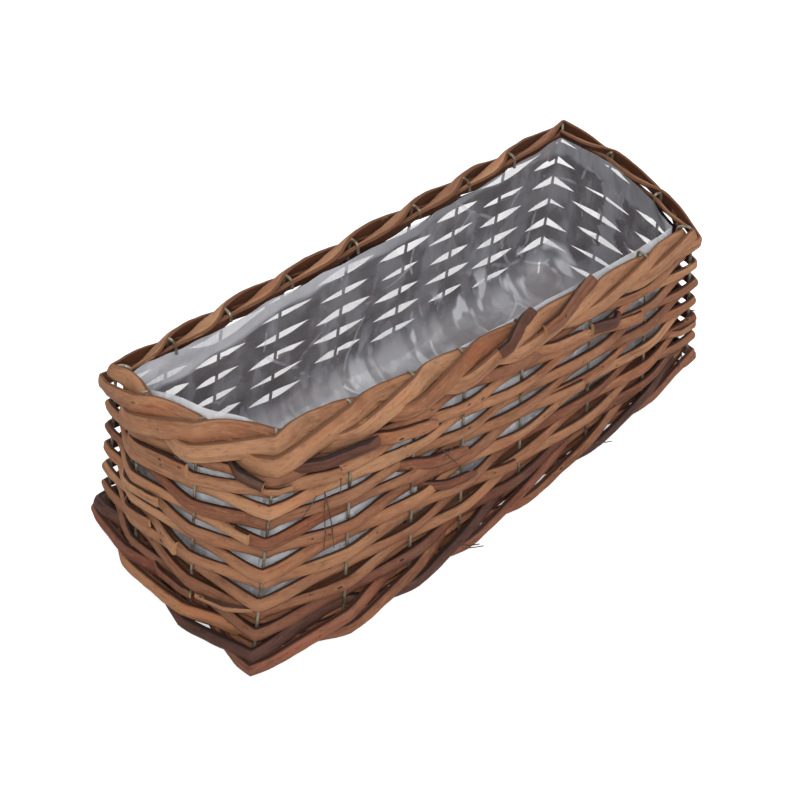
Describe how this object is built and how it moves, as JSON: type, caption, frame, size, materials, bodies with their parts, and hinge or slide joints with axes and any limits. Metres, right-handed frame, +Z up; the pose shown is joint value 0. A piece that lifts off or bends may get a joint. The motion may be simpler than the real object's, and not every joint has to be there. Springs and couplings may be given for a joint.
{
  "type": "wicker planter basket",
  "caption": "Long rectangular wicker planter trough of split willow woven round wire stakes, with a twisted rim and foot, a woven base and a clear film liner.",
  "frame": {"origin": "middle of the basket's bounding box in plan, on the plane that the foot stands on", "axes": "+X along the length, +Z up, the long side seen in the picture faces -Y"},
  "size_m": [0.434, 0.206, 0.1435],
  "materials": {
    "steel_wire": "dull galvanised wire, a little brown",
    "split_willow": "dry split willow, tan round face, dark brown split face",
    "rim_willow": "dry split willow, wider, yellowish tan to reddish",
    "bark_rod": "unpeeled rod, reddish to purple brown bark",
    "base_willow": "dry split willow, brown",
    "clear_film": "clear wrinkled film, glossy and a little milky"
  },
  "bodies": {
    "root": {"cross_wire_1": "steel_wire", "cross_wire_2": "steel_wire", "cross_wire_3": "steel_wire", "cross_wire_4": "steel_wire", "cross_wire_5": "steel_wire", "cross_wire_6": "steel_wire", "long_wire_1": "steel_wire", "long_wire_2": "steel_wire", "corner_wire_front_left": "steel_wire", "corner_wire_front_right": "steel_wire", "corner_wire_back_right": "steel_wire", "corner_wire_back_left": "steel_wire", "odd_wire_back_1": "steel_wire", "foot_rod_1": "bark_rod", "foot_rod_2": "bark_rod", "foot_rod_3": "bark_rod", "base_strip_01": "base_willow", "base_strip_02": "base_willow", "base_strip_03": "base_willow", "base_strip_04": "base_willow", "base_strip_05": "base_willow", "base_strip_06": "base_willow", "base_strip_07": "base_willow", "base_strip_08": "base_willow", "base_strip_09": "base_willow", "base_strip_10": "base_willow", "wall_strip_01": "split_willow", "wall_strip_02": "split_willow", "wall_strip_03": "split_willow", "wall_strip_04": "split_willow", "wall_strip_05": "split_willow", "wall_strip_06": "split_willow", "wall_strip_07": "split_willow", "wall_strip_08": "split_willow", "wall_strip_09": "split_willow", "wall_strip_10": "split_willow", "wall_strip_11": "split_willow", "wall_strip_12": "split_willow", "wall_strip_13": "split_willow", "wall_strip_14": "split_willow", "rim_strand_1": "rim_willow", "rim_strand_2": "rim_willow", "rim_strand_3": "rim_willow", "liner": "clear_film"}
  },
  "joints": []
}
